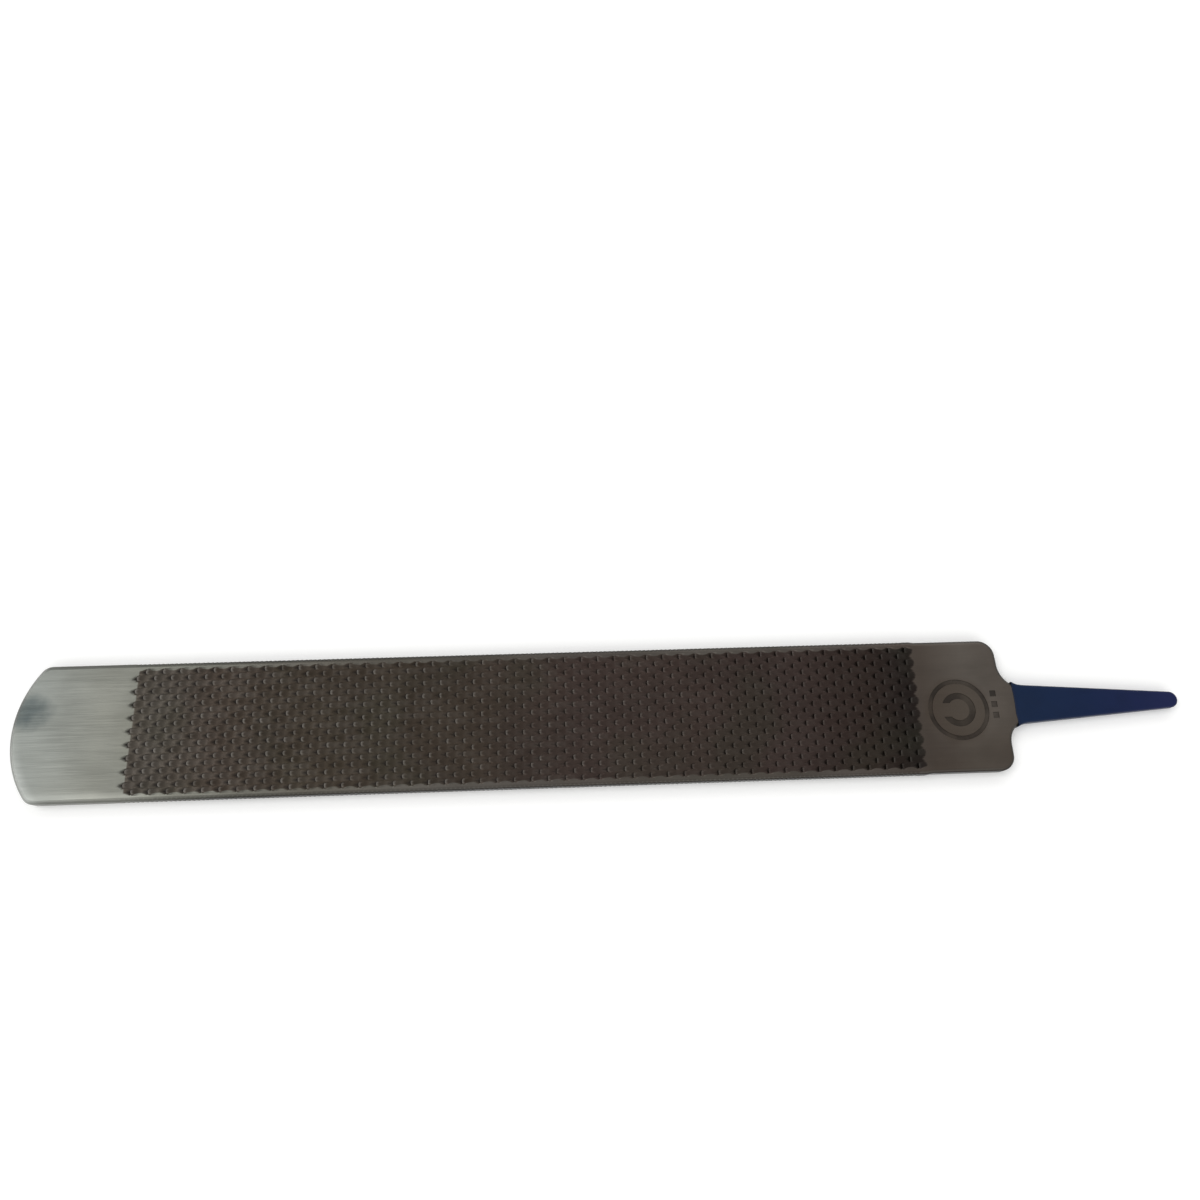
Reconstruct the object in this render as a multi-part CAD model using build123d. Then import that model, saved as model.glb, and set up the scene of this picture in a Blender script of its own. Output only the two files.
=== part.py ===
"""Farrier rasp: a flat one-piece steel tool with raised rasp teeth on one face, a file cut on the other,
and a bare tang with a coloured dip coat. Millimetres, +X from the toe to the tang, +Y across, +Z up.
The origin is the middle of the footprint, on the surface that the file side rests on."""

import os
from math import radians, sqrt, tan

from build123d import *

# Blank: a 14 inch rasp, a tenth wider than the usual 1 3/4 inch
blade_length = 355.6
blade_width = 48.9
blank_thickness = 4.8
toe_radius = 38.0
toe_corner_radius = 4.5
heel_corner_radius = 5.5
heel_step = 0.3
heel_step_length = 2.0
far_shoulder_lean = 1.15
edge_bevel_width = 1.3
edge_bevel_height = 0.45

# Tang: tapers in width and in thickness, with a round tip
tang_length = 65.2
tang_root_width = 14.7
tang_tip_width = 5.5
tang_root_thickness = 4.2
tang_tip_thickness = 3.0
shoulder_fillet = 7.5
shoulder_ramp = 3.0

# Coat on the tang
coat_thickness = 0.25
coat_from_shoulder = 3.5
coat_edge_radius = 1.0

# Toothed field on the rasp face, measured from the toe
field_start = 39.2
field_end = 323.0
row_pitch = 3.0
tooth_pitch = 4.75
teeth_in_long_row = 10
row_skew = 0.015
tooth_length = 2.2
tooth_width = 2.6
tooth_height = 0.8
tooth_crest_length = 0.2
tooth_crest_width = 0.9
tooth_face_lean = 0.15
pit_length = 2.4
pit_width = 2.3
pit_depth = 0.55

# File cut on the back: straight chisel grooves across the blade
file_pitch = 2.0
file_groove_width = 1.3
file_groove_depth = 0.45
file_cut_angle = 25.0

# Heel stamp: a ring round a plain horseshoe, and punch marks beside the tang
stamp_from_shoulder = 17.7
stamp_offset = -1.6
stamp_depth = 0.2
stamp_outer_radius = 11.2
stamp_inner_radius = 9.6
shoe_outer_radius = 6.2
shoe_inner_radius = 3.9
shoe_mouth_width = 5.0
punch_mark_size = 2.2
punch_mark_pitch = 4.0
punch_mark_count = 3
punch_marks_from_shoulder = 4.2

# Worked-out places
total_length = blade_length + tang_length
toe_x = -total_length / 2
tip_x = total_length / 2
shoulder_x = toe_x + blade_length
half_width = blade_width / 2
mid_z = blank_thickness / 2
tang_run = tang_length - coat_thickness - tang_tip_width / 2
clear = 1.0


def arc_depth(radius, half_chord):
    """How far the ends of a chord lie behind the foremost point of their arc."""
    return radius - sqrt(radius**2 - half_chord**2)


def tang_half_width(x):
    """Half the steel tang's width at x."""
    taper = (tang_root_width - tang_tip_width) / 2 / tang_run
    return tang_root_width / 2 - taper * (x - shoulder_x)


def tang_half_thickness(x):
    """Half the steel tang's thickness at x."""
    taper = (tang_root_thickness - tang_tip_thickness) / 2 / tang_run
    return tang_root_thickness / 2 - taper * (x - shoulder_x)


def tang_outline(start_x, growth=0.0):
    """The tang in plan, from start_x to its round tip, grown outwards all round."""
    centre_x = shoulder_x + tang_run
    tip_radius = tang_tip_width / 2 + growth
    root_half = tang_half_width(start_x) + growth
    with BuildSketch() as plan:
        with BuildLine():
            Line((start_x, root_half), (centre_x, tip_radius))
            ThreePointArc((centre_x, tip_radius), (centre_x + tip_radius, 0), (centre_x, -tip_radius))
            Line((centre_x, -tip_radius), (start_x, -root_half))
            Line((start_x, -root_half), (start_x, root_half))
        make_face()
    return plan.sketch


def blade_outline():
    """The blade in plan: round toe, sides that step in behind the teeth, and a far shoulder that leans."""
    corner_x = toe_x + arc_depth(toe_radius, half_width)
    step_x = toe_x + field_end
    heel_x = step_x + heel_step_length
    heel_half = half_width - heel_step
    far_x = shoulder_x - far_shoulder_lean
    near_side = [(corner_x, -half_width), (step_x, -half_width), (heel_x, -heel_half)]
    shoulders = [(shoulder_x, -heel_half), (shoulder_x, 0), (far_x, heel_half)]
    far_side = [(heel_x, heel_half), (step_x, half_width), (corner_x, half_width)]
    with BuildSketch() as plan:
        with BuildLine():
            ThreePointArc((corner_x, half_width), (toe_x, 0), (corner_x, -half_width))
            Polyline(*near_side, *shoulders, *far_side)
        make_face()
        fillet(plan.vertices().sort_by(Axis.X)[:2], toe_corner_radius)
        fillet([v for v in plan.vertices() if v.X > heel_x + clear and v.Y != 0], heel_corner_radius)
    return plan.sketch


def blank_outline():
    """Blade and tang in plan as one outline, with a fillet in each shoulder."""
    with BuildSketch() as plan:
        add(blade_outline())
        add(tang_outline(shoulder_x - clear))
        roots = [v for v in plan.vertices() if abs(v.X - shoulder_x) < clear and abs(v.Y) < tang_root_width]
        fillet(roots, shoulder_fillet)
    return plan.sketch


def side_envelope(start_x, growth=0.0):
    """What the tool fills seen from the side: full thickness along the blade, tapering along the tang."""
    ramp_end = shoulder_x + shoulder_ramp
    line = [(x, tang_half_thickness(x) + growth) for x in (max(start_x, ramp_end), tip_x + clear)]
    if start_x < shoulder_x:
        line = [(start_x, mid_z), (shoulder_x, mid_z)] + line
    upper = [(x, mid_z + half) for x, half in line]
    lower = [(x, mid_z - half) for x, half in reversed(line)]
    with BuildSketch(Plane.XZ) as side:
        with BuildLine():
            Polyline(*upper, *lower, close=True)
        make_face()
    return extrude(side.sketch, amount=blade_width, both=True)


def stamp_tools():
    """The shallow recesses struck into the heel: ring, horseshoe and punch marks."""
    centre = Pos(shoulder_x - stamp_from_shoulder, stamp_offset, 0)
    ring = Circle(stamp_outer_radius) - Circle(stamp_inner_radius)
    mouth = Pos(-shoe_outer_radius, 0, 0) * Rectangle(2 * shoe_outer_radius, shoe_mouth_width)
    shoe = Circle(shoe_outer_radius) - Circle(shoe_inner_radius) - mouth
    marks = [centre * ring, centre * shoe]
    for step in range(punch_mark_count):
        across = (step - (punch_mark_count - 1) / 2) * punch_mark_pitch
        spot = Pos(shoulder_x - punch_marks_from_shoulder, across, 0)
        marks.append(spot * Rectangle(punch_mark_size, punch_mark_size))
    lift = Pos(0, 0, blank_thickness - stamp_depth)
    return [lift * extrude(mark, amount=stamp_depth + clear) for mark in marks]


def file_groove():
    """One chisel groove's V, straight across the blade, steep on the toe side."""
    section = Polygon((-clear, -clear), (file_groove_width, -clear), (file_groove_width, 0),
                      (file_groove_width / 4, file_groove_depth), (0, 0), (-clear, 0), align=None)
    return extrude(Plane.XZ * section, amount=blade_width, both=True)


def row_centres(first, last, pitch):
    """Places along the tool for evenly pitched rows, from first up to last."""
    count = int((last - first) / pitch) + 1
    return [first + step * pitch for step in range(count)]


def bevelled(solid, face):
    """The solid with a shallow bevel along every edge of one of its flat faces."""
    return chamfer(face.edges(), edge_bevel_width, edge_bevel_height, reference=face)


def tooth_places():
    """Where each tooth's cutting edge stands: long rows of ten, and between them short rows of nine."""
    first = toe_x + field_start + pit_length
    last = toe_x + field_end - tooth_length
    places = []
    for row, x in enumerate(row_centres(first, last, row_pitch)):
        count = teeth_in_long_row - 1 + row % 2
        for place in range(count):
            y = (place - (count - 1) / 2) * tooth_pitch
            places.append(Pos(x + row_skew * y, y, blank_thickness))
    return places


def punched_pit():
    """The pit the punch leaves on the toe side of a tooth: a three-sided hollow, deepest at the tooth."""
    point = (-pit_length, 0, 0)
    left = (0, pit_width / 2, 0)
    right = (0, -pit_width / 2, 0)
    bottom = (0, 0, -pit_depth)
    sides = [(point, right, left), (point, left, bottom), (point, bottom, right), (left, right, bottom)]
    return Solid(Shell([Face(Wire.make_polygon(corners)) for corners in sides]))


def raised_tooth():
    """One rasp tooth: a wedge with a steep cutting face towards the toe and a long back."""
    crest_side = (tooth_width - tooth_crest_width) / 2
    wedge = Wedge(tooth_length, tooth_height, tooth_width, tooth_face_lean, crest_side,
                  tooth_face_lean + tooth_crest_length, crest_side + tooth_crest_width,
                  align=(Align.MIN, Align.MIN, Align.CENTER))
    return Rot(X=90) * wedge


def make_blank():
    """The one-piece steel blank: bevelled edges, stamped heel, tooth pits and the file cut on its back."""
    body = extrude(blank_outline(), amount=blank_thickness)
    body = bevelled(body, body.faces().sort_by(Axis.Z)[-1])
    body = bevelled(body, body.faces().sort_by(Axis.Z)[0])
    body = body & side_envelope(toe_x - clear)
    slant = half_width * tan(radians(file_cut_angle))
    groove = Rot(Z=file_cut_angle) * file_groove()
    first = toe_x + field_start + slant
    last = toe_x + field_end - slant
    grooves = [Pos(x, 0, 0) * groove for x in row_centres(first, last, file_pitch)]
    pit = punched_pit()
    return body - stamp_tools() - grooves - [place * pit for place in tooth_places()]


def make_teeth():
    """All the raised teeth, each a solid of its own that stands on the blank behind its pit."""
    tooth = raised_tooth()
    return Compound([place * tooth for place in tooth_places()])


def make_coating(blank):
    """The dip coat: a thin closed-ended skin over the tang."""
    start_x = shoulder_x + coat_from_shoulder
    outside = extrude(tang_outline(start_x, coat_thickness), amount=blank_thickness)
    outside = outside & side_envelope(start_x, coat_thickness)
    beyond = [e for e in outside.edges() if abs(e.center().X - start_x) > clear]
    rim = [e for e in beyond if abs(e.tangent_at(0.5).Z) < 0.5]
    return fillet(rim, coat_edge_radius) - blank


if __name__ == "__main__":
    os.makedirs("parts", exist_ok=True)
    steel = make_blank()
    nodes = {"rasp_blank": steel, "rasp_teeth": make_teeth(), "tang_coating": make_coating(steel)}
    for name, shape in nodes.items():
        export_step(shape, f"parts/{name}.step")
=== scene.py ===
"""A farrier rasp lying on a pale floor: a flat one-piece steel tool with a round toe, punched rasp teeth,
a double-cut file back, a stamped heel and a tapered tang under a navy dip coat.
Lengths are in millimetres until a mesh is made. +X runs from the toe to the tang and +Z is up."""

import math
import random

import bmesh
import bpy
from mathutils import Matrix, Vector
from mathutils.geometry import delaunay_2d_cdt


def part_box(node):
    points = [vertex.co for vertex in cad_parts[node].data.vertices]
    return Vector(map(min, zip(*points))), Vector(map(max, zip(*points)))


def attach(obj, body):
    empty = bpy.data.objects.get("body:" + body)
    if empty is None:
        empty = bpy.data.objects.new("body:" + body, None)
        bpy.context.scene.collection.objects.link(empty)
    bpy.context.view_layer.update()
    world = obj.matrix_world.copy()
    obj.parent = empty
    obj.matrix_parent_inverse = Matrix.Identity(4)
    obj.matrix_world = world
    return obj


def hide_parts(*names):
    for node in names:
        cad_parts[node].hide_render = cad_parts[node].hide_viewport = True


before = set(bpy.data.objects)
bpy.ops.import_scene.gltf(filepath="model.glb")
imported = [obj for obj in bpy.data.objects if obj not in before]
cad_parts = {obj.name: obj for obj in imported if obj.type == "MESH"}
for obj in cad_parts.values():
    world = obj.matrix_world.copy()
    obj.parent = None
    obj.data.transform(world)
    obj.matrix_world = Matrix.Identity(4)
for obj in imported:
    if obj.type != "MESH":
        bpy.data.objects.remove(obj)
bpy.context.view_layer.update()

MM = 0.001
draw = random.Random(14)

# Places read from the frame
blank_low, blank_high = (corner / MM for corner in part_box("rasp_blank"))
_, teeth_high = (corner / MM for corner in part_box("rasp_teeth"))
coat_low, coat_high = (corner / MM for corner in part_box("tang_coating"))
toe_x = blank_low.x
tip_x = blank_high.x
half_width = blank_high.y
thickness = blank_high.z
mid_z = thickness / 2
tooth_height = teeth_high.z - thickness
coat_start_x = coat_low.x
coat_thickness = coat_high.x - tip_x

# Blank outline
coat_from_shoulder = 3.5
shoulder_x = coat_start_x - coat_from_shoulder
toe_radius = 38.0
toe_corner = 4.5
toe_round = 10.5
heel_corner = 5.5
heel_step = 0.3
heel_step_length = 2.0
far_shoulder_lean = 1.15
shoulder_fillet = 7.5
shoulder_ramp = 3.0
tang_root_half = 7.35
tang_tip_half = 2.75
tang_root_half_thickness = 2.1
tang_tip_half_thickness = 1.5
tang_run = tip_x - tang_tip_half - shoulder_x

# Bevel round the blank: how far in from the outline, and how far down from the face
bevel_steps = ((1.3, 0.0), (0.75, 0.1), (0.3, 0.27), (0.0, 0.6))
tang_bevel_scale = 1.5
land_inset = 1.0
land_wear = 0.35
side_shade_inset = 1.2
side_shade_ramp = 4

# Toothed field
row_pitch = 3.0
column_pitch = 2.375
row_skew = 0.015
first_edge_x = toe_x + 41.6
field_back = 0.6
rows = 94
outer_column = 9
field_front = 3.4
field_half_width = 22.85
pit_depth = 0.6
slab_depth = 1.3
slab_inset = 0.3
same_place = 0.01

# Heel stamp
stamp_centre = (shoulder_x - 17.7, -1.6)
stamp_depth = 0.2
stamp_wall = 0.08
ring_outer = 11.2
ring_inner = 9.6
shoe_outer = 6.2
shoe_inner = 3.9
shoe_mouth = 5.0
punch_size = 2.2
punch_pitch = 4.0
punch_from_shoulder = 4.2

# File cut on the back: two crossing sets of grooves, as (lean from +Y in degrees, pitch along X, depth)
file_cuts = ((25.0, 2.0, 0.45), (-45.0, 2.4, 0.38))
file_crest_share = 0.32
file_front = 39.2
file_back = 323.0
file_border = 0.35
file_ridge_wear = 0.8

# Teeth along the narrow edges. A notch is at its full depth after notch_drop of its pitch, and has risen to
# notch_back of that depth after notch_rise. It shows in the bevel as far in as notch_inset.
edge_pitch = 1.6
edge_depth = 0.16
edge_run_out = 1.0
notch_drop = 0.15
notch_rise = 0.55
notch_back = 0.55
notch_inset = 0.6
plain_steps = 6


# ---------------------------------------------------------------- plan outline

def arc(centre, radius, start, end, count):
    """Points along an arc, both ends included. Angles are in degrees."""
    points = []
    for step in range(count + 1):
        angle = math.radians(start + (end - start) * step / count)
        points.append((centre[0] + radius * math.cos(angle), centre[1] + radius * math.sin(angle)))
    return points


def tang_half_width(x):
    """Half the steel tang's width at x, without the shoulder's fillet."""
    return tang_root_half - (tang_root_half - tang_tip_half) * (x - shoulder_x) / tang_run


def half_thickness(x):
    """Half the blank's thickness at x: level along the blade, a short ramp, then the tang's taper."""
    taper = (tang_root_half_thickness - tang_tip_half_thickness) / tang_run
    tang = tang_root_half_thickness - taper * (x - shoulder_x)
    share = min(max((x - shoulder_x) / shoulder_ramp, 0.0), 1.0)
    return mid_z + (tang - mid_z) * share


def side_stations(start, end):
    """Places along a long edge, as (x, notch depth), with saw-like notches beside the toothed field."""
    notch_start = first_edge_x - edge_run_out
    notch_end = first_edge_x + (rows - 1) * row_pitch + edge_run_out
    stations = [(start + (notch_start - start) * step / plain_steps, 0.0) for step in range(plain_steps)]
    x = notch_start
    while x < notch_end - edge_pitch:
        depth = edge_depth * draw.uniform(0.75, 1.0)
        stations += [(x, 0.0), (x + notch_drop * edge_pitch, depth)]
        stations.append((x + notch_rise * edge_pitch, depth * notch_back))
        x += edge_pitch
    step_x = toe_x + file_back
    stations += [(x, 0.0), (step_x, 0.0), (step_x + heel_step_length / 2, 0.0)]
    heel_x = step_x + heel_step_length
    stations += [(heel_x + (end - heel_x) * step / plain_steps, 0.0) for step in range(plain_steps + 1)]
    return stations


def side_half_width(x):
    """Half the blade's width at x: the heel is a little narrower than the toothed part."""
    share = min(max((x - toe_x - file_back) / heel_step_length, 0.0), 1.0)
    return half_width - heel_step * share


def shoulder_flank(x):
    """How much the shoulder's fillet adds to each side of the tang's taper at x."""
    away = max(0.0, shoulder_x + shoulder_fillet - x)
    return shoulder_fillet - math.sqrt(shoulder_fillet**2 - away**2)


def half_outline(lean):
    """One edge of the blank in plan as (x, y, notch), y counted outwards from the centre line, from the
    foremost point of the toe to the tang's tip, and the index where the shoulder's fillet begins.
    The shoulder leans towards the toe by lean at the heel's corner."""
    toe_centre = toe_x + toe_radius
    corner_y = half_width - toe_corner
    corner_x = toe_centre - math.sqrt((toe_radius - toe_corner) ** 2 - corner_y**2)
    join = math.degrees(math.atan2(corner_y, corner_x - toe_centre))
    points = arc((toe_centre, 0), toe_radius, 180, join, 30)
    points += arc((corner_x, corner_y), toe_corner, join, 90, 10)[1:-1]
    plain = [(x, y, 0.0) for x, y in points]
    heel_x = shoulder_x - heel_corner
    heel_half = half_width - heel_step
    plain += [(x, side_half_width(x), notch) for x, notch in side_stations(corner_x, heel_x - lean)]
    points = arc((heel_x, heel_half - heel_corner), heel_corner, 90, 0, 16)[1:]
    taper = math.atan((tang_root_half - tang_tip_half) / tang_run)
    fillet_x = shoulder_x + shoulder_fillet
    fillet_y = tang_half_width(fillet_x) + shoulder_fillet / math.cos(taper)
    fillet_first = len(plain) + len(points)
    points += arc((fillet_x, fillet_y), shoulder_fillet, 180, 270 - math.degrees(taper), 14)
    points = [(x - lean * y / heel_half, y) for x, y in points]
    tang_from = points[-1][0]
    tip_centre = shoulder_x + tang_run
    for step in range(1, 24):
        x = tang_from + (tip_centre - tang_from) * step / 24
        points.append((x, tang_half_width(x)))
    points += arc((tip_centre, 0), tang_tip_half, 90, 0, 10)
    return plain + [(x, y, 0.0) for x, y in points], fillet_first


def inward_normals(loop):
    """Unit normals that point into a loop that runs clockwise seen from above."""
    directions = []
    for here, there in zip(loop, loop[1:] + loop[:1]):
        step = Vector((there[0] - here[0], there[1] - here[1]))
        directions.append(step.normalized())
    normals = []
    for before, after in zip(directions[-1:] + directions[:-1], directions):
        mean = (before + after).normalized()
        spread = max(mean.dot(after), 0.5)
        normals.append((mean.y / spread, -mean.x / spread))
    return normals


def shifted(loop, distance):
    """The loop moved inwards by distance. A negative distance moves it outwards."""
    return [(p[0] + n[0] * distance, p[1] + n[1] * distance) for p, n in zip(loop, inward_normals(loop))]


# ---------------------------------------------------------------- mesh making

class Shape:
    """Points and faces of one piece while it is being made, with a named number on each point."""

    def __init__(self, *labels):
        self.points = []
        self.faces = []
        self.marks = {label: [] for label in labels}

    def point(self, x, y, z, **marks):
        self.points.append((x, y, z))
        for label, values in self.marks.items():
            values.append(marks.get(label, 0.0))
        return len(self.points) - 1

    def strip(self, one, other, closed=False):
        """Quads between two rows of points."""
        last = len(one) if closed else len(one) - 1
        for k in range(last):
            n = (k + 1) % len(one)
            self.faces.append((one[k], one[n], other[n], other[k]))

    def piece(self, name, material, sharp_degrees):
        """The finished Blender object, with outward normals and creases where faces meet sharply."""
        mesh = bpy.data.meshes.new(name)
        mesh.from_pydata([(x * MM, y * MM, z * MM) for x, y, z in self.points], [], self.faces)
        for label, values in self.marks.items():
            layer = mesh.attributes.new(label, "FLOAT", "POINT")
            layer.data.foreach_set("value", values)
        work = bmesh.new()
        work.from_mesh(mesh)
        bmesh.ops.recalc_face_normals(work, faces=work.faces)
        work.to_mesh(mesh)
        work.free()
        mesh.polygons.foreach_set("use_smooth", [True] * len(mesh.polygons))
        mesh.set_sharp_from_angle(angle=math.radians(sharp_degrees))
        mesh.materials.append(material)
        thing = bpy.data.objects.new(name, mesh)
        bpy.context.scene.collection.objects.link(thing)
        return thing


def triangles(flat_points, edges, keep):
    """Triangles, anticlockwise from above, between points in plan that use every given edge."""
    found = delaunay_2d_cdt([Vector(p) for p in flat_points], edges, [], 0, 1e-6)
    coords, faces, origins = found[0], found[2], found[3]
    result = []
    for face in faces:
        centre = sum((coords[i] for i in face), Vector((0, 0))) / 3
        if keep(centre.x, centre.y):
            result.append(tuple(origins[i][0] for i in face))
    return result


def loop_edges(first, count):
    """Pairs of neighbouring indices round a closed loop of count points."""
    return [(first + k, first + (k + 1) % count) for k in range(count)]


def inside(loop, x, y):
    """Whether a place in plan lies in a closed loop."""
    odd = False
    for (ax, ay), (bx, by) in zip(loop, loop[1:] + loop[:1]):
        if (ay > y) != (by > y) and x < ax + (bx - ax) * (y - ay) / (by - ay):
            odd = not odd
    return odd


# ---------------------------------------------------------------- steel blank

def field_corners(front, back, half, inset=0.0):
    """The corners of a field skewed with the tooth rows, clockwise from above."""
    spots = []
    for x, side in ((front + inset, -1), (front + inset, 1), (back - inset, 1), (back - inset, -1)):
        y = side * (half - inset)
        spots.append((x + row_skew * y, y))
    return spots


def in_field(corners, x, y):
    """Whether a place in plan lies in a field with these corners, clear of its border."""
    (ax, ay), (_, by), (cx, _), _ = corners
    return ay < y < by and ax + row_skew * (y - ay) < x < cx + row_skew * (y - by)


def stamp_loops():
    """The stamp's outlines, clockwise, as (loop at the face, loop on the floor of the recess)."""
    cx, cy = stamp_centre
    loops = []
    for radius, wall in ((ring_outer, -stamp_wall), (ring_inner, stamp_wall)):
        top = arc(stamp_centre, radius, 360, 0, 96)[:-1]
        floor = arc(stamp_centre, radius + wall, 360, 0, 96)[:-1]
        loops.append((top, floor))
    mouth_outer = math.degrees(math.asin(shoe_mouth / 2 / shoe_outer))
    mouth_inner = math.degrees(math.asin(shoe_mouth / 2 / shoe_inner))
    shoe = arc((cx, cy), shoe_outer, 180 - mouth_outer, mouth_outer - 180, 48)
    shoe += arc((cx, cy), shoe_inner, mouth_inner - 180, 180 - mouth_inner, 36)
    loops.append((shoe, shifted(shoe, stamp_wall)))
    for step in (-1, 0, 1):
        x = shoulder_x - punch_from_shoulder
        y = step * punch_pitch
        h = punch_size / 2
        mark = [(x - h, y - h), (x - h, y + h), (x + h, y + h), (x + h, y - h)]
        loops.append((mark, shifted(mark, stamp_wall)))
    return loops


def file_lattice(corners):
    """Points and ridges of the crossed file cuts, as ((x, y, depth), ...) and pairs of their indices."""
    spots, index, edges = [], {}, []
    (lean_a, pitch_a, depth_a), (lean_b, pitch_b, depth_b) = file_cuts
    a, b = math.radians(lean_a), math.radians(lean_b)
    centre_x = toe_x + (file_front + file_back) / 2
    reach = int((file_back - file_front) / pitch_a) + 30
    for i in range(-reach, reach):
        for j in range(-reach, reach):
            u = (i // 2 + (i % 2) * file_crest_share) * pitch_a * math.cos(a)
            v = (j // 2 + (j % 2) * file_crest_share) * pitch_b * math.cos(b)
            det = math.sin(b - a)
            x = (u * math.sin(b) - v * math.sin(a)) / det + centre_x
            y = (v * math.cos(a) - u * math.cos(b)) / det
            if not in_field(corners, x, y):
                continue
            depth = max(depth_a * (i % 2 == 0), depth_b * (j % 2 == 0))
            index[i, j] = len(spots)
            spots.append((x, y, depth * draw.uniform(0.9, 1.05)))
    for (i, j), here in index.items():
        slanted = ((i, j), (i + 1, j + 1)) if (i + j) % 2 == 0 else ((i + 1, j), (i, j + 1))
        for one, other in (((i, j), (i + 1, j)), ((i, j), (i, j + 1)), slanted):
            if one in index and other in index:
                edges.append((index[one], index[other]))
    return spots, edges


def tang_bevel(x):
    """How much deeper the bevel steps go at x: the tang's edges are rounder than the blade's."""
    share = min(max((x - shoulder_x) / shoulder_ramp, 0.0), 1.0)
    return 1 + (tang_bevel_scale - 1) * share


def make_rims(shape):
    """The blank's bevels and narrow edges as stacked loops, from the top face's rim to the bottom face's."""
    far, fillet_first = half_outline(far_shoulder_lean)
    near, _ = half_outline(0.0)
    outline = far + [(x, -y, notch) for x, y, notch in reversed(near[1:-1])]
    normals = inward_normals(outline)
    levels = [(inset, drop, 1) for inset, drop in bevel_steps]
    levels += [(inset, drop, -1) for inset, drop in reversed(bevel_steps)]
    rims = []
    for inset, drop, side in levels:
        notch_share = max(0.0, 1 - inset / notch_inset)
        rim = []
        for (x, y, notch), (nx, ny) in zip(outline, normals):
            d = inset + notch * notch_share
            px, py = x + nx * d, y + ny * d
            z = mid_z + side * (half_thickness(px) - drop * tang_bevel(px))
            # Edge wear and painted highlight on the outer bevels, left out in the notches
            wear = 1.0 - notch / edge_depth if inset < land_inset else land_wear
            # Painted shade on the narrow sides: darkest at the outline, fading inwards, and only behind the round
            # toe.
            straight = min(max((px - toe_x - toe_round) / side_shade_ramp, 0.0), 1.0)
            dark = max(0.0, 1 - inset / side_shade_inset) * straight
            rim.append(shape.point(px, py, z, wear=wear, side=dark))
        if rims:
            shape.strip(rims[-1], rim, closed=True)
        rims.append(rim)
    return rims, len(far) - 1, fillet_first


def cover_tang(shape, rim, tip, fillet_first):
    """One face of the tang and shoulders: rungs between the rim's two sides."""
    count = len(rim)
    for k in range(fillet_first, tip - 1):
        shape.faces.append((rim[k], rim[k + 1], rim[count - k - 1], rim[count - k]))
    shape.faces.append((rim[tip - 1], rim[tip], rim[tip + 1]))


def blade_rim(rim, fillet_first):
    """The part of a rim that goes round the blade, from one shoulder by the toe to the other."""
    return rim[-fillet_first:] + rim[:fillet_first + 1]


def cover_top(shape, rim):
    """The blade's upper lands, with the stamp struck in and an opening for the toothed field."""
    flat = [shape.points[i][:2] for i in rim]
    owners = list(rim)
    edges = loop_edges(0, len(flat))
    corners = field_corners(first_edge_x - field_front, field_end_x(), field_half_width)
    loops = [(corners, 0.0)]
    for face_loop, floor_loop in stamp_loops():
        loops += [(face_loop, 0.0), (floor_loop, -stamp_depth)]
    for loop, height in loops:
        edges += loop_edges(len(flat), len(loop))
        struck = 1.0 if height < 0 else 0.0
        owners += [shape.point(x, y, thickness + height, struck=struck) for x, y in loop]
        flat += loop
    outer = flat[:len(rim)]
    found = triangles(flat, edges, lambda x, y: inside(outer, x, y) and not in_field(corners, x, y))
    shape.faces += [tuple(owners[i] for i in face) for face in found]
    opening = owners[len(rim):len(rim) + 4]
    sunk = field_corners(first_edge_x - field_front, field_end_x(), field_half_width, slab_inset)
    floor = [shape.point(x, y, thickness - slab_depth) for x, y in sunk]
    shape.strip(opening, floor, closed=True)
    shape.faces.append(tuple(floor))


def cover_bottom(shape, rim):
    """The blade's underside, with the crossed file cuts between its lands."""
    flat = [shape.points[i][:2] for i in rim]
    owners = list(rim)
    edges = loop_edges(0, len(flat))
    corners = field_corners(toe_x + file_front, toe_x + file_back, field_half_width)
    border = []
    for (ax, ay), (bx, by) in zip(corners, corners[1:] + corners[:1]):
        steps = int(math.hypot(bx - ax, by - ay))
        border += [(ax + (bx - ax) * k / steps, ay + (by - ay) * k / steps) for k in range(steps)]
    edges += loop_edges(len(flat), len(border))
    owners += [shape.point(x, y, 0) for x, y in border]
    flat += border
    inner = field_corners(toe_x + file_front, toe_x + file_back, field_half_width, file_border)
    spots, ridges = file_lattice(inner)
    edges += [(len(flat) + one, len(flat) + other) for one, other in ridges]
    for x, y, depth in spots:
        owners.append(shape.point(x, y, depth, wear=file_ridge_wear if depth == 0 else 0.0, cut=1.0))
    flat += [(x, y) for x, y, _ in spots]
    outer = flat[:len(rim)]
    found = triangles(flat, edges, lambda x, y: in_field(corners, x, y) or inside(outer, x, y))
    shape.faces += [tuple(owners[i] for i in reversed(face)) for face in found]


def make_blank(material):
    """The steel blank: bevels and narrow edges, both faces of the blade, and the bare tang under its coat."""
    shape = Shape("wear", "side", "struck", "cut")
    rims, tip, fillet_first = make_rims(shape)
    cover_tang(shape, rims[0], tip, fillet_first)
    cover_tang(shape, rims[-1], tip, fillet_first)
    cover_top(shape, blade_rim(rims[0], fillet_first))
    cover_bottom(shape, blade_rim(rims[-1], fillet_first))
    return shape.piece("rasp_blank_steel", material, sharp_degrees=9)


# ---------------------------------------------------------------- toothed field

# Stations along one tooth: (x from its cutting edge, share of the pit's depth, share of the tooth's height)
tooth_stations = (
    (-2.45, 0.0, 0.0), (-1.8, 0.25, 0.0), (-1.1, 0.55, 0.0), (-0.45, 0.85, 0.0), (-0.02, 1.0, 0.0),
    (0.04, 0.3, 0.45), (0.0, 0.0, 1.0), (0.3, 0.0, 0.93), (0.75, 0.0, 0.66), (1.3, 0.0, 0.36),
    (1.95, 0.0, 0.12), (2.75, 0.0, 0.0))
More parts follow.
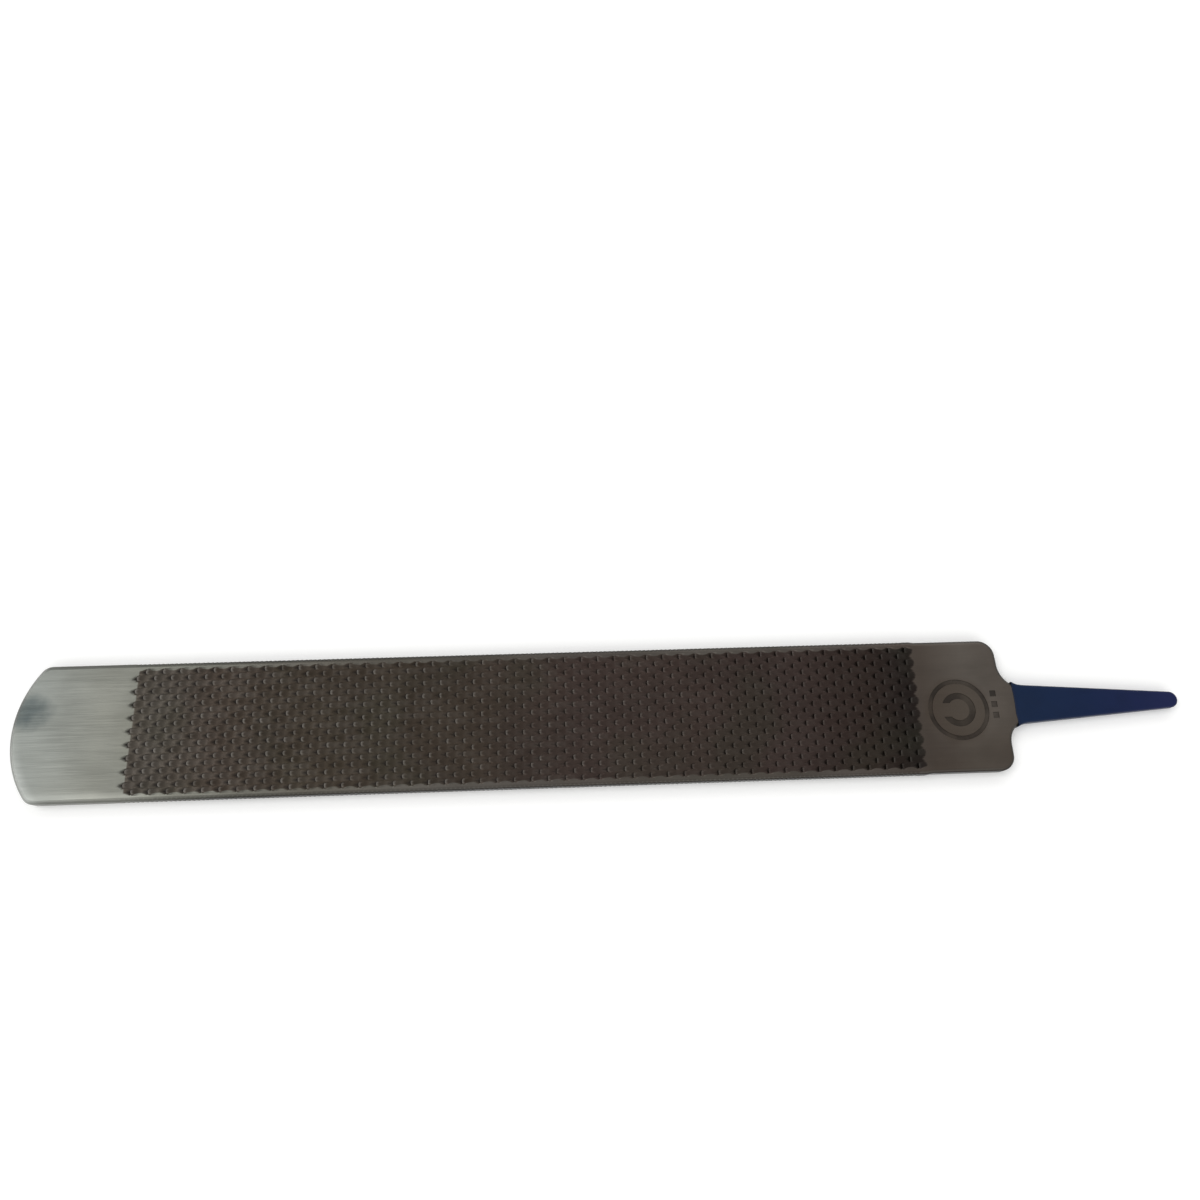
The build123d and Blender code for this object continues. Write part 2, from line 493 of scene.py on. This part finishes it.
# Numbers of the stations at the pit's bottom, on the crest and just behind it
pit_bottom, crest, behind_crest = 4, 6, 7
# Places across one column, as shares of half its width
column_places = (-1.0, -0.8, -0.56, -0.28, 0.0, 0.28, 0.56, 0.8)

# Form of a tooth: its crest leans towards the toe, its pit has a mouth (least, and wider with depth, as shares
# of half the column) and a slight lip, and its dome is blunter than a half circle
crest_lean = 0.14
mouth_least, mouth_growth = 0.16, 0.8
pit_lip = 0.07
dome_power = 0.8
# Painted highlight on a tooth's crest and just behind it
crest_wear, behind_crest_wear = 1.0, 0.6
# How fast the painted shade in a pit deepens with its depth
pit_darkness = 1.6

# Where the dark skin ends. Behind the last row it fades over a few stations, sooner in a column's middle than
# at its edge. Along the outer columns it is scalloped, reaching further out beside a pit or a tooth.
tail_start, tail_steps, tail_edge_steps = 1.3, 2.0, 2.5
last_line_skin, last_line_edge_loss = 0.85, 0.5
scallop_least, scallop_growth, scallop_blur = 0.35, 0.6, 0.3


def field_end_x():
    """Where the toothed field's slab ends on the centre line."""
    return first_edge_x + rows * row_pitch + field_back


def station(line, odd):
    """One line across a column: (x on the centre line, number of the tooth in its column, its station).
    Even columns start with the first row of teeth and odd ones with the second."""
    half = len(tooth_stations) // 2
    shift = half if odd else 0
    tooth, step = divmod(line + shift, len(tooth_stations))
    start = first_edge_x + (-row_pitch if odd else 0.0)
    return start + tooth * 2 * row_pitch + tooth_stations[step][0], tooth - (1 if odd else 0), step


class Tooth:
    """The small differences between one tooth and the next."""

    def __init__(self):
        self.height = draw.uniform(0.86, 1.0)
        self.depth = draw.uniform(0.85, 1.1)
        self.along = draw.uniform(-0.12, 0.12)
        self.across = draw.uniform(-0.09, 0.09)
        self.turn = draw.uniform(-0.12, 0.12)
        self.wear = draw.uniform(0.35, 1.0)
        self.half = draw.uniform(0.84, 0.96)
        self.shade = draw.uniform(0.0, 1.0)


def field_point(shape, column, place, line, teeth):
    """A point of the toothed surface: column and place across it, and the line along it."""
    odd = column % 2 != 0
    x, tooth, step = station(line, odd)
    other_x = station(line, not odd)[0]
    edge = abs(place)
    x += (other_x - x) / 2 * edge**3
    y = (column + place / 2) * column_pitch
    number = tooth * 2 + (1 if odd else 0)
    z = thickness
    wear = pit = shade = 0.0
    _, deep, tall = tooth_stations[step]
    started = number > 0 or (number == 0 and step >= pit_bottom)
    aged = 1.0 if started else 0.0
    if number >= rows:
        aged = min(max(tail_start - step / (tail_steps + tail_edge_steps * edge), 0.0), 1.0)
    elif number == rows - 1 and step == len(tooth_stations) - 1:
        aged = last_line_skin - last_line_edge_loss * edge
    if abs(y) > outer_column * column_pitch:
        reach = scallop_least + scallop_growth * max(deep, tall)
        aged *= min(max((reach - edge) / scallop_blur + 0.5, 0.0), 1.0)
    if 0 <= number < rows and edge < 1:
        ours = teeth[column, tooth]
        calm = 1 - edge**2
        x += (ours.along + ours.turn * place) * calm
        y += ours.across * calm
        mouth = mouth_least + mouth_growth * deep
        hollow = deep * max(0.0, 1 - edge / mouth)
        dome = max(0.0, 1 - (edge / ours.half) ** 2) ** dome_power
        z += tooth_height * ours.height * tall * dome - pit_depth * ours.depth * hollow
        z += pit_lip * deep * edge * calm
        x -= crest_lean * tall * dome * (1 if step <= behind_crest else 0)
        # Painted highlight on the crest, stronger on some teeth than on others
        wear = ours.wear * dome * {crest: crest_wear, behind_crest: behind_crest_wear}.get(step, 0.0)
        # Painted shade in the pit, darker where it is deeper
        pit = min(1.0, hollow * pit_darkness)
        aged = max(aged, pit)
        shade = ours.shade * calm
    return shape.point(x + row_skew * y, y, z, wear=wear, pit=pit, aged=aged, shade=shade)


def make_teeth(material):
    """The toothed face as one closed slab let into the blank: pits, raised teeth and the metal between."""
    shape = Shape("wear", "pit", "aged", "shade")
    columns = range(-outer_column, outer_column + 1)
    last_tooth = rows // 2
    teeth = {(column, tooth): Tooth() for column in columns for tooth in range(-1, last_tooth + 1)}
    lines = last_tooth * len(tooth_stations) + len(tooth_stations) // 2
    across = [(column, place) for column in columns for place in column_places] + [(outer_column, 1.0)]
    rows_of_points = []
    for line in range(lines):
        row = [field_point(shape, column, place, line, teeth) for column, place in across]
        first, last = shape.points[row[0]], shape.points[row[-1]]
        side_low = shape.point(first[0], -field_half_width, thickness)
        side_high = shape.point(last[0], field_half_width, thickness)
        rows_of_points.append([side_low] + row + [side_high])
    for x, place in ((first_edge_x - field_front, 0), (field_end_x(), len(rows_of_points) + 1)):
        row = []
        for i in rows_of_points[1]:
            y = shape.points[i][1]
            row.append(shape.point(x + row_skew * y, y, thickness))
        rows_of_points.insert(place, row)
    for one, other in zip(rows_of_points, rows_of_points[1:]):
        shape.strip(one, other)
    rim = rows_of_points[0] + [row[-1] for row in rows_of_points[1:-1]]
    rim += rows_of_points[-1][::-1] + [row[0] for row in rows_of_points[-2:0:-1]]
    middle = (first_edge_x - field_front + field_end_x()) / 2
    half_length = (field_end_x() - first_edge_x + field_front) / 2
    skirt = []
    for i in rim:
        x, y, _ = shape.points[i]
        inset_y = y - math.copysign(slab_inset, y) * (abs(y) > field_half_width - same_place)
        end = abs(x - row_skew * y - middle) > half_length - same_place
        inset_x = x - math.copysign(slab_inset, x - middle) * end
        skirt.append(shape.point(inset_x, inset_y, thickness - slab_depth))
    shape.strip(rim, skirt, closed=True)
    shape.faces.append(tuple(skirt))
    return shape.piece("rasp_tooth_field", material, sharp_degrees=38)


# ---------------------------------------------------------------- tang coat

coat_corner = 0.75
coat_inner = -0.05
coat_lip = 0.5
coat_rows_across = 8
corner_steps = 6
coat_bead, bead_from_start, bead_spread = 0.06, 0.8, 0.7
tip_steps, tip_step_degrees = 10, 9.6
body_steps = 30
# How far from its start the coat's edge still wanders, and how far its dark lip reaches
wave_run, lip_run = 6, 1.2


def coat_stations():
    """Places along the tang as (distance from the coat's start, x, half width, plan direction)."""
    tip_centre = shoulder_x + tang_run
    run = tip_centre - coat_start_x
    near = [0.0, 0.03, 0.12, 0.28, 0.5, 0.9, 1.5, 2.4]
    along = near + [near[-1] + (run - near[-1]) * k / body_steps for k in range(1, body_steps + 1)]
    places = [(s, coat_start_x + s) for s in along]
    stations = [(s, x, tang_half_width(x) + shoulder_flank(x), 90.0) for s, x in places]
    for step in range(1, tip_steps):
        angle = 90 - step * tip_step_degrees
        x = tip_centre + tang_tip_half * math.cos(math.radians(angle))
        stations.append((run + step, x, tang_tip_half * math.sin(math.radians(angle)), angle))
    return stations


def lip_wave(y, upper):
    """How far the hand-dipped start of the coat wanders at y."""
    shift = 0.0 if upper else 1.7
    return 0.13 * math.sin(0.8 * y + 0.4 + shift) + 0.08 * math.sin(2.3 * y + shift)


def coat_skin(distance):
    """The film's height above the steel: a soft lip, and a slight bead behind it."""
    full = coat_thickness + coat_bead * math.exp(-((distance - bead_from_start) / bead_spread) ** 2)
    if distance < coat_lip:
        return full * math.sqrt(1 - (1 - distance / coat_lip) ** 2)
    return full


def coat_ring(shape, station, skin):
    """One closed ring round the tang, starting on the upper face at +Y and going over it to -Y."""
    distance, x, half, angle = station
    turn = (math.cos(math.radians(angle)), math.sin(math.radians(angle)))
    tall = half_thickness(x)
    fade = max(0.0, 1 - distance / wave_run)

    def corner(side, upper, degrees):
        reach = (coat_corner + skin) * math.sin(math.radians(degrees)) - coat_corner
        rise = (coat_corner + skin) * math.cos(math.radians(degrees)) - coat_corner
        if degrees > 90:
            rise = -tall
        y = side * (half + turn[1] * reach)
        z = mid_z + (1 if upper else -1) * (tall + rise)
        return x + turn[0] * reach + lip_wave(y, upper) * fade, y, z

    def mid(side):
        y = side * (half + turn[1] * skin)
        shift = (lip_wave(y, True) + lip_wave(y, False)) / 2 * fade
        return x + turn[0] * skin + shift, y, mid_z

    def across(upper, side):
        ends = corner(side, upper, 0), corner(-side, upper, 0)
        row = []
        for k in range(coat_rows_across + 1):
            share = k / coat_rows_across
            y = ends[0][1] + (ends[1][1] - ends[0][1]) * share
            row.append((x - turn[0] * coat_corner + lip_wave(y, upper) * fade, y, ends[0][2]))
        return row

    angles = [90 * k / corner_steps for k in range(1, corner_steps + 1)]
    ring = across(True, 1)
    ring += [corner(-1, True, a) for a in angles] + [mid(-1)]
    ring += [corner(-1, False, a) for a in reversed(angles)]
    ring += across(False, -1)
    ring += [corner(1, False, a) for a in angles] + [mid(1)]
    ring += [corner(1, True, a) for a in reversed(angles)]
    return [shape.point(*spot, lip=max(0.0, 1 - distance / lip_run)) for spot in ring]


def close_tip(shape, ring):
    """Faces that join the two sides of the last ring, rung by rung from the upper face to the lower."""
    side = 2 * corner_steps + 2
    start = coat_rows_across
    near = ring[start:start + side + 1]
    far = [ring[0]] + ring[:-side:-1] + [ring[start + side + coat_rows_across]]
    for k in range(1, side - 1):
        shape.faces.append((far[k], far[k + 1], near[k + 1], near[k]))
    shape.faces.append(tuple(ring[:start + 1]) + (near[1], far[1]))
    shape.faces.append(tuple(ring[start + side:start + side + start + 1]) + (far[side - 1], near[side - 1]))


def make_coat(material):
    """The coat as one closed skin, its inner side a little way into the steel so that no gap shows."""
    shape = Shape("lip")
    stations = coat_stations()
    first_rings = []
    for surface in (coat_skin, lambda distance: coat_inner):
        rings = [coat_ring(shape, station, surface(station[0])) for station in stations]
        for one, other in zip(rings, rings[1:]):
            shape.strip(one, other, closed=True)
        close_tip(shape, rings[-1])
        first_rings.append(rings[0])
    shape.strip(*first_rings, closed=True)
    return shape.piece("tang_dip_coat", material, sharp_degrees=50)


# ---------------------------------------------------------------- materials

steel_metallic = 0.8
blue_patch_centre = (toe_x + 5.5, 7.8)
blue_patch_reach = (7.5, 6.0)
stain_inner, stain_outer, stain_ragged = 12.5, 16.5, 6.0


def linear(*srgb):
    """A colour given as 0 to 255 on a screen, as the shader's light values."""
    values = []
    for part in srgb:
        part /= 255
        values.append(part / 12.92 if part <= 0.04045 else ((part + 0.055) / 1.055) ** 2.4)
    return tuple(values)


class Look:
    """A node material under construction."""

    def __init__(self, name):
        self.material = bpy.data.materials.new(name)
        self.material.use_nodes = True
        self.tree = self.material.node_tree
        self.shader = self.tree.nodes["Principled BSDF"]
        place = self.tree.nodes.new("ShaderNodeTexCoord")
        self.place = place.outputs["Object"]
        split = self.tree.nodes.new("ShaderNodeSeparateXYZ")
        self.tree.links.new(self.place, split.inputs[0])
        self.x, self.y, self.z = split.outputs

    def feed(self, socket, value):
        """Link a node's output to the socket, or set the socket to a plain value."""
        if isinstance(value, bpy.types.NodeSocket):
            self.tree.links.new(value, socket)
        else:
            socket.default_value = value

    def math(self, operation, *values, clamp=False):
        node = self.tree.nodes.new("ShaderNodeMath")
        node.operation = operation
        node.use_clamp = clamp
        for socket, value in zip(node.inputs, values):
            self.feed(socket, value)
        return node.outputs[0]

    def span(self, value, low, high, out_low=0.0, out_high=1.0):
        """The value carried smoothly from one range to another, held at both ends."""
        node = self.tree.nodes.new("ShaderNodeMapRange")
        node.interpolation_type = "SMOOTHSTEP"
        for socket, setting in zip(node.inputs, (value, low, high, out_low, out_high)):
            self.feed(socket, setting)
        return node.outputs[0]

    def ramp(self, value, stops):
        """Colours along a value, as (place, colour) pairs."""
        node = self.tree.nodes.new("ShaderNodeValToRGB")
        marks = node.color_ramp.elements
        while len(marks) < len(stops):
            marks.new(0.5)
        for mark, (place, colour) in zip(marks, stops):
            mark.position = place
            mark.color = (*colour, 1.0)
        self.feed(node.inputs[0], value)
        return node.outputs[0]

    def mix(self, share, one, other, mode="MIX"):
        node = self.tree.nodes.new("ShaderNodeMix")
        node.data_type = "RGBA"
        node.blend_type = mode
        self.feed(node.inputs["Factor"], share)
        colours = [socket for socket in node.inputs if socket.type == "RGBA"]
        for socket, value in zip(colours, (one, other)):
            self.feed(socket, value if isinstance(value, bpy.types.NodeSocket) else (*value, 1.0))
        return next(socket for socket in node.outputs if socket.type == "RGBA")

    def stretched(self, scale):
        """The object's coordinates in metres, multiplied along each axis."""
        node = self.tree.nodes.new("ShaderNodeMapping")
        node.inputs["Scale"].default_value = scale
        self.tree.links.new(self.place, node.inputs["Vector"])
        return node.outputs[0]

    def noise(self, scale, detail=3.0, stretch=(1, 1, 1)):
        node = self.tree.nodes.new("ShaderNodeTexNoise")
        node.inputs["Scale"].default_value = scale
        node.inputs["Detail"].default_value = detail
        self.tree.links.new(self.stretched(stretch), node.inputs["Vector"])
        return node.outputs[0]

    def mark(self, label):
        """A number stored on the mesh's points."""
        node = self.tree.nodes.new("ShaderNodeAttribute")
        node.attribute_name = label
        return node.outputs["Fac"]

    def bump(self, height, distance, strength=1.0, under=None):
        node = self.tree.nodes.new("ShaderNodeBump")
        node.inputs["Strength"].default_value = strength
        node.inputs["Distance"].default_value = distance
        self.feed(node.inputs["Height"], height)
        if under is not None:
            self.feed(node.inputs["Normal"], under)
        return node.outputs[0]

    def finish(self, **sockets):
        for name, value in sockets.items():
            self.feed(self.shader.inputs[name.replace("_", " ")], value)
        return self.material

    def along(self):
        """How far along the blade a place is: 0 at the toe and 1 at the tang's tip."""
        return self.math("DIVIDE", self.math("SUBTRACT", self.x, toe_x * MM), (tip_x - toe_x) * MM)


def blade_stops(colours):
    """Ramp stops from (millimetres from the toe, screen colour) pairs."""
    return [(distance / (tip_x - toe_x), linear(*colour)) for distance, colour in colours]


def ground_surface(look):
    """Ground steel as (colour, roughness, normal): faint clouding, fine lengthwise scratches and a painted
    highlight along the near edge that fades from the toe to the heel."""
    along = look.along()
    # Pale at the toe, dark at the heel: partly the ground finish, partly a painted reflection of the light.
    colour = look.ramp(along, blade_stops([
        (0, (112, 116, 113)), (30, (111, 112, 105)), (60, (97, 97, 90)), (100, (93, 90, 83)),
        (150, (87, 83, 77)), (200, (86, 80, 75)), (250, (89, 84, 78)), (300, (87, 80, 75)),
        (326, (81, 72, 65)), (342, (101, 94, 87)), (362, (96, 88, 81))]))
    cloud = look.noise(38, 4, (1, 1.5, 1))
    colour = look.mix(look.span(cloud, 0.35, 0.68, 0.0, 0.22), colour, linear(92, 96, 88), "MULTIPLY")
    warm = look.noise(22, 2)
    colour = look.mix(look.span(warm, 0.45, 0.7, 0.0, 0.25), colour, (0.36, 0.33, 0.26), "OVERLAY")
    # Painted highlight: a pale band along the near edge, strongest at the toe.
    near = look.span(look.y, -22.6 * MM, -20.2 * MM, 1.0, 0.0)
    fading = look.span(along, 0.08, 0.2, 1.0, 0.12)
    pale = look.mix(1.0, colour, (1.5, 1.5, 1.52), "MULTIPLY")
    colour = look.mix(look.math("MULTIPLY", near, fading), colour, pale)
    scratches = look.noise(1.0, 3, (60, 4200, 300))
    colour = look.mix(look.span(scratches, 0.3, 0.72, 0.06, 0.0), colour, linear(40, 36, 32))
    rough = look.span(scratches, 0.25, 0.75, 0.33, 0.45)
    lines = look.bump(scratches, 0.03 * MM, 0.15)
    return colour, rough, look.bump(look.noise(900, 2), 0.03 * MM, 0.25, lines)


def steel_look():
    """Ground blank: a painted highlight round the toe's rim, wider on the near side, a dark blue-grey patch
    near it, a stain round the darker stamp, a darker near side of the heel, and painted shade on the narrow
    sides."""
    look = Look("ground_steel")
    colour, rough, normal = ground_surface(look)
    # Painted highlight round the toe's rim, where the bevel would catch the light, wider on the near side.
    from_centre = look.math("MINIMUM", look.math("SUBTRACT", look.x, (toe_x + toe_radius) * MM), 0.0)
    squared = look.math("ADD", look.math("POWER", from_centre, 2.0), look.math("POWER", look.y, 2.0))
    radius = look.math("SQRT", squared)
    rim = look.span(radius, (toe_radius - 1.7) * MM, (toe_radius - 0.5) * MM, 0.0, 0.4)
    wide = look.span(radius, (toe_radius - 4.5) * MM, (toe_radius - 0.5) * MM, 0.0, 0.22)
    near = look.span(look.y, -18 * MM, 6 * MM, 1.0, 0.0)
    rim = look.math("ADD", rim, look.math("MULTIPLY", wide, near))
    colour = look.mix(rim, colour, linear(190, 192, 188))
    # A dark blue-grey patch near the toe, ragged at its edge.
    blue_patch_x, blue_patch_y = (
        look.math("MULTIPLY", look.math("SUBTRACT", axis, centre * MM), 1 / (reach * MM))
        for axis, centre, reach in zip((look.x, look.y), blue_patch_centre, blue_patch_reach))
    away = look.math("ADD", look.math("POWER", blue_patch_x, 2.0), look.math("POWER", blue_patch_y, 2.0))
    ragged = look.math("ADD", away, look.math("MULTIPLY", look.noise(160, 3), 1.6))
    colour = look.mix(look.span(ragged, 0.5, 2.4, 0.85, 0.0), colour, linear(50, 60, 62))
    ring_x = look.math("SUBTRACT", look.x, stamp_centre[0] * MM)
    ring_y = look.math("SUBTRACT", look.y, stamp_centre[1] * MM)
    ringed = look.math("ADD", look.math("POWER", ring_x, 2.0), look.math("POWER", ring_y, 2.0))
    ragged = look.math("ADD", look.math("SQRT", ringed), look.math("MULTIPLY", look.noise(90, 3), stain_ragged * MM))
    stain = look.span(ragged, stain_inner * MM, stain_outer * MM, 0.5, 0.0)
    colour = look.mix(stain, colour, linear(72, 62, 52))
    patch = look.span(look.noise(150, 3), 0.3, 0.65, 0.3, 0.7)
    colour = look.mix(look.math("MULTIPLY", look.mark("struck"), patch), colour, linear(30, 27, 24))
    colour = look.mix(look.math("MULTIPLY", look.mark("cut"), 0.3), colour, linear(40, 36, 33))
    # Paler outer bevels: edge wear and painted highlight.
    edge = look.math("MULTIPLY", look.span(look.mark("wear"), 0.55, 1.0), 0.1)
    colour = look.mix(edge, colour, linear(176, 174, 168))
    heel_side = look.math("MULTIPLY", look.span(look.y, -18 * MM, -4 * MM, 0.25, 0.0),
                          look.span(look.x, (shoulder_x - 32) * MM, (shoulder_x - 22) * MM))
    colour = look.mix(heel_side, colour, linear(58, 46, 40))
    # Painted shade on the narrow sides, weaker at the toe.
    side = look.math("MULTIPLY", look.mark("side"), look.span(look.along(), 0.08, 0.2, 0.3, 0.92))
    colour = look.mix(side, colour, linear(27, 25, 23))
    return look.finish(Base_Color=colour, Metallic=steel_metallic, Roughness=rough, Normal=normal)


def tooth_look():
    """Punched teeth: dark hardening skin, with painted shade in the pits and a painted highlight on the tips,
    all fading to the heel.
    """
    look = Look("punched_steel")
    along = look.along()
    # Lighter at the toe end: partly the skin's own tone, partly a painted reflection of the light.
    skin = look.ramp(along, blade_stops([
        (40, (72, 66, 58)), (48, (64, 59, 52)), (70, (61, 52, 44)), (100, (56, 48, 38)),
        (160, (57, 48, 39)), (200, (62, 50, 45)), (240, (60, 48, 43)), (280, (59, 47, 43)),
        (305, (48, 36, 31)), (319, (30, 22, 19))]))
    cloud = look.noise(45, 4)
    skin = look.mix(look.span(cloud, 0.3, 0.7, 0.3, 0.0), skin, linear(38, 30, 26))
    green = look.noise(30, 2)
    skin = look.mix(look.span(green, 0.5, 0.7, 0.0, 0.22), skin, linear(50, 54, 40))
    # The painted highlight and shade on the teeth, and their random tone, weaken from the toe to the heel
    fading = look.span(along, 0.08, 0.7, 1.0, 0.3)
    shade = look.math("MULTIPLY", look.math("MULTIPLY", look.mark("shade"), 0.25), fading)
    skin = look.mix(shade, skin, linear(112, 106, 100))
    ground, ground_rough, ground_normal = ground_surface(look)
    aged = look.span(look.mark("aged"), 0.15, 0.85)
    colour = look.mix(aged, ground, skin)
    # Painted highlight on the tooth tips
    tips = look.math("MULTIPLY", look.math("MULTIPLY", look.mark("wear"), 0.75), fading)
    colour = look.mix(tips, colour, linear(140, 136, 130))
    # Painted shade in the pits
    pits = look.math("MULTIPLY", look.mark("pit"), fading)
    colour = look.mix(pits, colour, linear(12, 9, 8))
    grain = look.noise(1400, 3)
    scaly = look.span(grain, 0.3, 0.7, 0.38, 0.55)
    rough = look.math("ADD", look.math("MULTIPLY", scaly, aged),
                      look.math("MULTIPLY", ground_rough, look.math("SUBTRACT", 1.0, aged)))
    return look.finish(Base_Color=colour, Metallic=steel_metallic, Roughness=rough,
                       Normal=look.bump(grain, 0.04 * MM, 0.25, ground_normal))


def coat_look():
    """Navy dip coat: smooth, with a faint orange peel and a violet cast towards the tip."""
    look = Look("navy_coat")
    colour = look.ramp(look.along(), blade_stops([
        (358, (15, 34, 62)), (385, (14, 31, 63)), (405, (19, 30, 67)), (421, (26, 32, 72))]))
    cloud = look.noise(120, 3)
    colour = look.mix(look.span(cloud, 0.35, 0.7, 0.0, 0.2), colour, linear(10, 22, 42))
    rim = look.math("MULTIPLY", look.mark("lip"), 0.35)
    colour = look.mix(rim, colour, linear(12, 16, 30))
    peel = look.noise(520, 2)
    rough = look.span(look.noise(260, 3), 0.3, 0.7, 0.32, 0.42)
    return look.finish(Base_Color=colour, Roughness=rough, Specular_IOR_Level=0.14,
                       Normal=look.bump(peel, 0.12 * MM, 0.35))


def floor_look():
    """Plain white paper with a faint painted glow of its own, so that the tool's shadow stays faint."""
    look = Look("pale_floor")
    return look.finish(Base_Color=(*linear(253, 253, 252), 1.0), Roughness=0.75,
                       Emission_Color=(1.0, 1.0, 1.0, 1.0), Emission_Strength=0.08)


# ---------------------------------------------------------------- floor, light and camera

floor_half = 12.0
floor_gap = 0.0002


def make_floor(material):
    """A pale square floor just under the tool, in metres."""
    half = floor_half
    work = bmesh.new()
    corners = [(-half, -half), (half, -half), (half, half), (-half, half)]
    ring = [work.verts.new((x, y, -floor_gap)) for x, y in corners]
    work.faces.new(ring)
    mesh = bpy.data.meshes.new("floor")
    work.to_mesh(mesh)
    work.free()
    mesh.materials.append(material)
    floor = bpy.data.objects.new("floor", mesh)
    bpy.context.scene.collection.objects.link(floor)
    return floor


def make_light(name, place, target, size, power):
    """A rectangular white light at place that faces target. Metres and watts."""
    lamp = bpy.data.lights.new(name, "AREA")
    lamp.shape = "RECTANGLE"
    lamp.size, lamp.size_y = size
    lamp.energy = power
    thing = bpy.data.objects.new(name, lamp)
    thing.location = place
    thing.rotation_euler = (Vector(target) - Vector(place)).to_track_quat("-Z", "Y").to_euler()
    bpy.context.scene.collection.objects.link(thing)


def make_world(strength):
    """Even white light from all round."""
    world = bpy.data.worlds.new("studio")
    world.use_nodes = True
    back = world.node_tree.nodes["Background"]
    back.inputs["Color"].default_value = (1.0, 1.0, 1.0, 1.0)
    back.inputs["Strength"].default_value = strength
    bpy.context.scene.world = world


def make_camera(place, elevation, azimuth, roll, lens):
    """A camera at place, in millimetres, that looks down at the tool, tipped by elevation, swung by azimuth
    and rolled, in degrees."""
    up_tilt, swing, lean = (math.radians(angle) for angle in (elevation, azimuth, roll))
    ahead = Vector((math.sin(swing) * math.cos(up_tilt), math.cos(swing) * math.cos(up_tilt),
                    -math.sin(up_tilt)))
    right = ahead.cross(Vector((0, 0, 1))).normalized()
    up = right.cross(ahead)
    leaned_right = right * math.cos(lean) + up * math.sin(lean)
    leaned_up = up * math.cos(lean) - right * math.sin(lean)
    turn = Matrix((leaned_right, leaned_up, -ahead)).transposed()
    data = bpy.data.cameras.new("camera")
    data.lens = lens
    data.sensor_width = 36.0
    data.clip_start = 0.01
    camera = bpy.data.objects.new("camera", data)
    camera.matrix_world = Matrix.Translation(Vector(place) * MM) @ turn.to_4x4()
    bpy.context.scene.collection.objects.link(camera)
    bpy.context.scene.camera = camera


# ---------------------------------------------------------------- the scene

make_camera(place=(-15.67, -68.82, 339.82), elevation=71.23, azimuth=7.08, roll=5.19, lens=28.35)
make_world(strength=0.62)
make_light("window_left", place=(-1.3, 0.25, 1.9), target=(-0.1, 0, 0), size=(1.2, 1.2), power=14)
make_light("softbox_back", place=(0.4, 1.5, 1.3), target=(0, 0, 0), size=(1.8, 0.8), power=6)
make_light("softbox_front", place=(0.1, -1.5, 1.4), target=(0, 0, 0), size=(2.0, 1.0), power=10)
bpy.context.scene.view_settings.view_transform = "Standard"

for make, look, node, slot in (
        (make_blank, steel_look, "rasp_blank", "blank_steel"),
        (make_teeth, tooth_look, "rasp_teeth", "tooth_steel"),
        (make_coat, coat_look, "tang_coating", "tang_coat")):
    piece = make(look())
    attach(piece, "root")
    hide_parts(node)

make_floor(floor_look())
